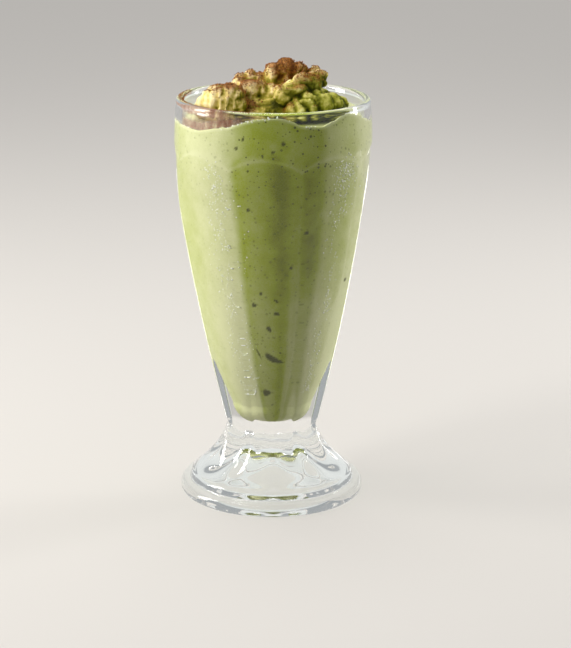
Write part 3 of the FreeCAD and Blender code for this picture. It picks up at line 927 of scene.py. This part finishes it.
def grain_material():
    """Ground spice, from dark to rusty brown grain by grain."""
    m, t, shader = material("ground_spice")
    body = t.ramp(t.layer("shade"), [(0.0, (0.08, 0.022, 0.002)), (0.5, (0.22, 0.07, 0.006)),
                                     (1.0, (0.48, 0.19, 0.03))])
    t.fill(shader, {"Base Color": body, "Roughness": 0.8})
    return m


def bubble_material():
    """Foam bubbles: pale, wet and shiny."""
    m, t, shader = material("foam_bubbles")
    body = t.ramp(t.noise(t.coords(), 400.0, 2.0, 0.5), [(0.35, (0.80, 0.83, 0.62)), (0.65, (0.95, 0.95, 0.88))])
    t.fill(shader, {"Base Color": body, "Roughness": 0.12})
    return m


def smear_material():
    """Thin spice and milk smear: brown-pink streaks whose cover falls to nothing."""
    m, t, shader = material("spice_smear")
    coords = t.coords()
    drawn_out = t.add("Mapping", {"Vector": coords, "Scale": (1.0, 1.0, 0.35)})["Vector"]
    streak = t.noise(drawn_out, 420.0, 4.0, 0.6)
    grain = t.noise(coords, 2400.0, 2.0, 0.6)
    body = t.ramp(streak, [(0.38, (0.60, 0.37, 0.25)), (0.60, (0.25, 0.085, 0.035))])
    cover = t.maths("MULTIPLY", t.layer("thick"),
                    t.maths("ADD", t.maths("MULTIPLY", streak, 1.1), t.swing(grain, 0.5)))
    t.fill(shader, {"Base Color": body, "Roughness": 0.4, "Alpha": t.spread(cover, 0.12, 0.80, 0.0, 0.92)})
    return m


# ------------------------------------------------------------------ pieces
glass = build_glass()
glass.data.materials.append(glass_material())
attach(glass, "root")
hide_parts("glass")

frappe = build_frappe()
frappe.data.materials.append(frappe_material())
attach(frappe, "root")
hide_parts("frappe")

cream, cream_co, cream_nr, cream_dust = build_cream()
cream.data.materials.append(cream_material())
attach(cream, "root")
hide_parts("cream")

grains = build_grains(cream_co, cream_nr, cream_dust)
grains.data.materials.append(grain_material())
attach(grains, "root")

bubbles = build_bubbles()
bubbles.data.materials.append(bubble_material())
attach(bubbles, "root")

smear = build_smear()
smear.data.materials.append(smear_material())
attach(smear, "root")
print("triangles", {o.name: sum(len(p.vertices) - 2 for p in o.data.polygons)
                    for o in (glass, frappe, cream, grains, bubbles, smear)})


# ------------------------------------------------------------------ floor, room and light
ROOM_GLOW = 0.36                  # how bright the room is for what it lights, and the floor for what sees it
MILD_WARM = (1.0, 0.98, 0.95)


def stage_plane(name, corners, colour):
    """A matt plane through four points, and its material's tree and shader."""
    mesh = bpy.data.meshes.new(name)
    mesh.from_pydata([tuple(v * MM for v in c) for c in corners], [], [(0, 1, 2, 3)])
    obj = add_object(name, mesh)
    m, t, shader = material(name)
    t.fill(shader, {"Base Color": colour, "Roughness": 0.9, "Specular IOR Level": 0.0})
    mesh.materials.append(m)
    return t, shader


floor_tree, floor_shader = stage_plane("floor", [(-3000, -2000, 0), (3000, -2000, 0), (3000, 2600, 0),
                                                 (-3000, 2600, 0)], (0.30, 0.285, 0.265))
floor_tree.fill(floor_shader, {
    "Emission Color": (1.0, 0.97, 0.93),
    "Emission Strength": floor_tree.maths("MULTIPLY", floor_tree.seen_rays(), ROOM_GLOW)})


def area_light(name, place, target, size, power, colour=(1.0, 1.0, 1.0)):
    """A rectangular light at a place, turned to a target."""
    light = bpy.data.lights.new(name, "AREA")
    light.shape = "RECTANGLE"
    light.size, light.size_y = size[0] * MM, size[1] * MM
    light.energy = power
    light.color = colour
    obj = add_object(name, light)
    place, target = Vector(place) * MM, Vector(target) * MM
    obj.location = place
    obj.rotation_euler = (target - place).to_track_quat("-Z", "Y").to_euler()
    return obj


def ridge_light(angle, out, wide, long, power):
    """A low ellipse on the floor, shining up, that the glass mirrors as a line along its ridges."""
    t = math.radians(angle)
    low = area_light("ridge_light", (out * math.sin(t), -out * math.cos(t), 2.0), (0, 0, 300), (wide, long), power)
    low.data.shape = "ELLIPSE"
    low.rotation_euler = (math.pi, 0.0, t)
    low.visible_camera = low.visible_diffuse = low.visible_transmission = False


area_light("key_softbox", (-780, 60, 430), (0, 0, 110), (260, 620), 7.0, MILD_WARM)
area_light("rim_strip", (700, 330, 330), (0, 0, 110), (110, 620), 5.0).visible_glossy = False
ridge_light(133.0, 280.0, 110.0, 340.0, 0.42)
ridge_light(-132.0, 280.0, 60.0, 340.0, 0.20)
ridge_light(162.0, 440.0, 120.0, 520.0, 0.30)
ridge_light(-168.0, 440.0, 110.0, 520.0, 0.24)
area_light("top_soft", (-80, 200, 900), (0, 0, 150), (500, 400), 3.2)
front_soft = area_light("front_soft", (-600, -330, 700), (0, 0, 180), (200, 200), 3.4, MILD_WARM)
front_soft.visible_glossy = front_soft.visible_transmission = False

world = bpy.data.worlds.new("soft_room")
world.use_nodes = True
bpy.context.scene.world = world
room = Tree(world.node_tree)
axes = room.add("SeparateXYZ", {"Vector": room.add("TexCoord")["Generated"]})
shade = room.ramp(room.maths("MULTIPLY_ADD", axes["Y"], 0.5, 0.5),
                  [(0.15, (0.36, 0.37, 0.37)), (0.6, (0.42, 0.44, 0.42)), (0.9, (0.80, 0.82, 0.80))])
glow = room.nodes["Background"]
room.fill(glow, {"Color": (1.0, 1.0, 1.0), "Strength": ROOM_GLOW})
seen = room.add("Background", {"Color": shade, "Strength": 1.0})["Background"]
room.fill(room.nodes["World Output"],
          {"Surface": room.mix_shader(room.seen_rays(), glow.outputs["Background"], seen)})

# ------------------------------------------------------------------ camera
camera_distance = 858.8
camera_height = 327.2
pitch, yaw, roll = (math.radians(v) for v in (16.24, 0.395, 0.422))
camera = add_object("camera", bpy.data.cameras.new("camera"))
camera.data.sensor_width = 36.0
camera.data.lens = 110.7
camera.data.clip_start = 0.05
forward = np.array((math.sin(yaw) * math.cos(pitch), math.cos(yaw) * math.cos(pitch), -math.sin(pitch)))
right = np.array((math.cos(yaw), -math.sin(yaw), 0.0))
upward = np.cross(right, forward)
cam_x = math.cos(roll) * right + math.sin(roll) * upward
cam_y = -math.sin(roll) * right + math.cos(roll) * upward
aim = Matrix(np.stack([cam_x, cam_y, -forward], -1).tolist())
camera.matrix_world = Matrix.Translation((0.0, -camera_distance * MM, camera_height * MM)) @ aim.to_4x4()
bpy.context.scene.camera = camera
bpy.context.scene.view_settings.view_transform = "Standard"
